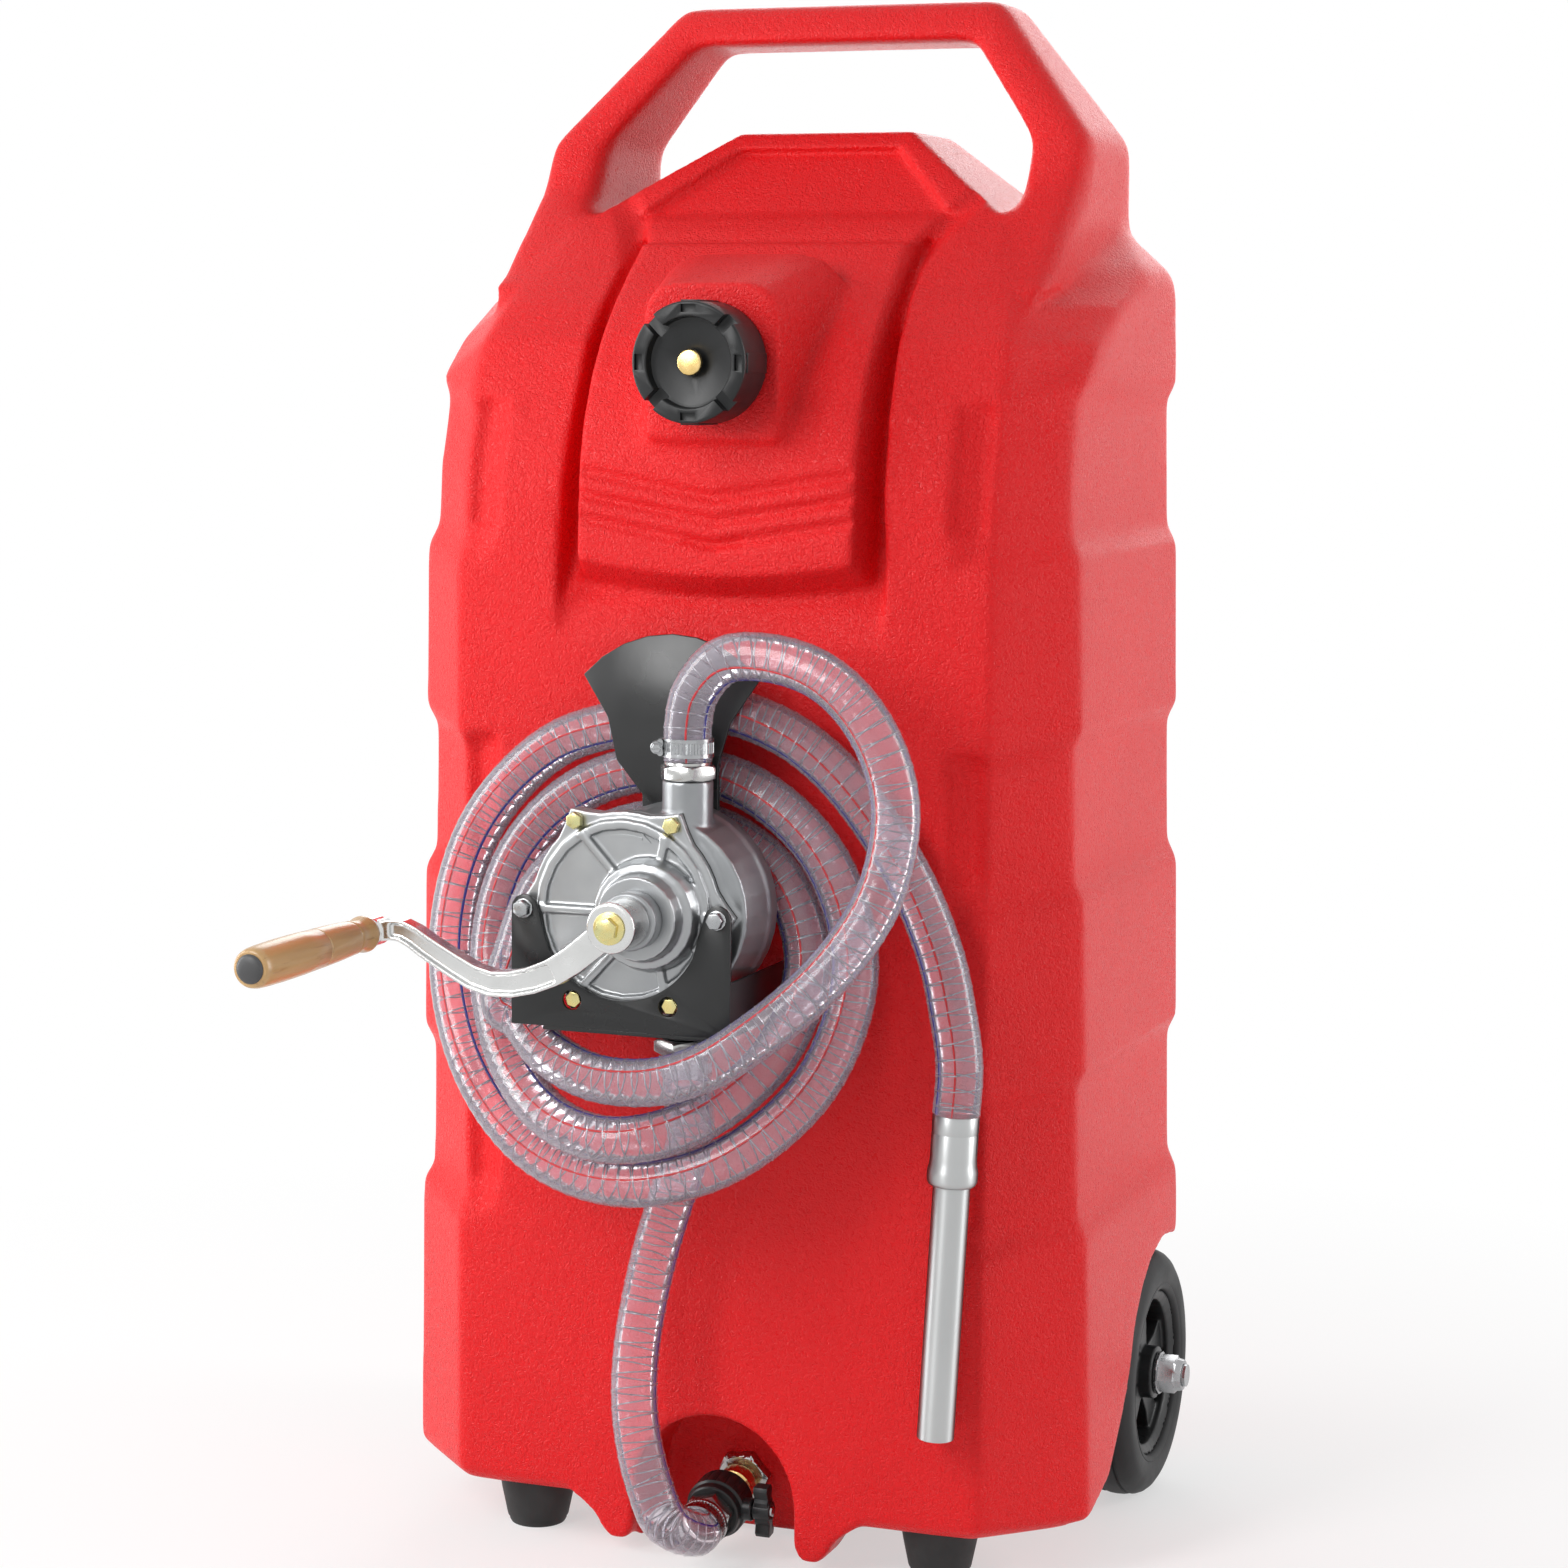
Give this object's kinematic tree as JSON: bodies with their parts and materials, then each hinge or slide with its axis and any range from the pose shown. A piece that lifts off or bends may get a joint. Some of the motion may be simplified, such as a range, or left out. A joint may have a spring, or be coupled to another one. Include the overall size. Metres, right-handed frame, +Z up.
{
  "type": "wheeled fuel caddy",
  "caption": "Upright blow-moulded fuel tank on wheels with a hand-cranked rotary pump, a coiled delivery hose with spout, a suction hose from a bottom ball valve and a vented cap.",
  "frame": {"origin": "on the ground, midway between the front of the crank's grip and the back of the wheels, in the middle of the width", "axes": "+Z up, +X to the right seen from the front, -Y to the front, where the pump and the crank are"},
  "size_m": [0.5222, 0.675, 1.064],
  "materials": {
    "red_polyethylene": "fine matt grain",
    "black_plastic": "satin moulded",
    "dark_grey_plastic": "satin",
    "black_rubber": "matt",
    "tyre_rubber": "matt",
    "brass": "machined",
    "zinc_plated_steel": "zinc plated",
    "nickel_plate": "satin plated",
    "cast_aluminium": "as cast",
    "gasket_paper": "matt",
    "bronze": "sintered",
    "yellow_zinc": "yellow passivated",
    "black_painted_sheet": "satin powder coat",
    "clear_hose": "smooth, translucent",
    "light_wood": "oiled"
  },
  "bodies": {
    "caddy": {"tank": "red_polyethylene", "pump_housing": "cast_aluminium", "pump_cover": "cast_aluminium", "cover_gasket": "gasket_paper", "shaft_bush": "bronze", "shaft_packing": "gasket_paper", "gland_nut": "cast_aluminium", "pump_bracket": "black_painted_sheet", "hose_hanger": "black_painted_sheet", "cover_bolt_1": "yellow_zinc", "cover_bolt_2": "yellow_zinc", "cover_bolt_3": "yellow_zinc", "cover_bolt_4": "yellow_zinc", "bracket_bolt_left": "zinc_plated_steel", "bracket_bolt_right": "zinc_plated_steel", "pump_mount_bolt_upper": "zinc_plated_steel", "pump_mount_bolt_lower": "zinc_plated_steel", "hanger_screw_left": "zinc_plated_steel", "hanger_screw_right": "zinc_plated_steel", "outlet_fitting": "nickel_plate", "outlet_clamp": "zinc_plated_steel", "inlet_fitting": "nickel_plate", "inlet_clamp": "zinc_plated_steel", "hose_lead": "clear_hose", "hose_coil": "clear_hose", "hose_tail": "clear_hose", "spout_ferrule": "nickel_plate", "spout_tube": "nickel_plate", "suction_hose": "clear_hose", "tank_outlet_nut": "nickel_plate", "valve_nipple": "brass", "valve_body": "black_plastic", "valve_barb": "nickel_plate", "valve_clamp": "zinc_plated_steel", "axle": "zinc_plated_steel", "axle_nut_left": "nickel_plate", "axle_nut_right": "nickel_plate", "foot_left": "black_rubber", "foot_right": "black_rubber"},
    "crank": {"crank_arm": "cast_aluminium", "crank_bolt": "yellow_zinc", "grip_pin": "zinc_plated_steel", "pump_shaft": "zinc_plated_steel", "rotor": "cast_aluminium", "vane_1": "bronze", "vane_2": "bronze", "vane_3": "bronze"},
    "grip": {"crank_grip": "light_wood", "grip_end_cap": "dark_grey_plastic"},
    "cap_seal": {"cap_gasket": "black_rubber"},
    "cap": {"filler_cap": "black_plastic", "vent_spring": "zinc_plated_steel"},
    "vent": {"vent_button": "brass"},
    "valve_spindle": {"valve_ball": "zinc_plated_steel", "valve_stem": "zinc_plated_steel", "valve_handle": "black_plastic"},
    "wheel_left": {"tyre_left": "tyre_rubber", "rim_left": "black_plastic"},
    "wheel_right": {"tyre_right": "tyre_rubber", "rim_right": "black_plastic"}
  },
  "joints": [
    {"name": "crank_turn", "type": "hinge", "parent": "caddy", "child": "crank", "pos_m": [-0.007, -0.1795, 0.46], "axis": [0, 1, 0], "continuous": true},
    {"name": "grip_spin", "type": "hinge", "parent": "crank", "child": "grip", "pos_m": [-0.178, -0.1835, 0.446], "axis": [0, 1, 0], "continuous": true},
    {"name": "cap_rise", "type": "slide", "parent": "caddy", "child": "cap_seal", "axis": [0, -1, 0], "range_m": [0, 0.0076]},
    {"name": "cap_turn", "type": "hinge", "parent": "cap_seal", "child": "cap", "pos_m": [0, -0.0757, 0.812], "axis": [0, -1, 0], "range_deg": [0, 540]},
    {"name": "vent_press", "type": "slide", "parent": "cap", "child": "vent", "axis": [0, 1, 0], "range_m": [0, 0.002], "stiffness_N_per_m": 400, "springref_m": -0.001, "deforming": ["vent_spring"]},
    {"name": "valve_turn", "type": "hinge", "parent": "caddy", "child": "valve_spindle", "pos_m": [0.032, -0.00799, 0.03776], "axis": [1, 0, 0], "range_deg": [0, 90]},
    {"name": "wheel_left_spin", "type": "hinge", "parent": "caddy", "child": "wheel_left", "pos_m": [-0.241, 0.2485, 0.089], "axis": [1, 0, 0], "continuous": true},
    {"name": "wheel_right_spin", "type": "hinge", "parent": "caddy", "child": "wheel_right", "pos_m": [0.241, 0.2485, 0.089], "axis": [1, 0, 0], "continuous": true}
  ],
  "couplings": [
    {"joint": "cap_rise", "follows": "cap_turn", "m_per_rad": 0.00079577}
  ]
}
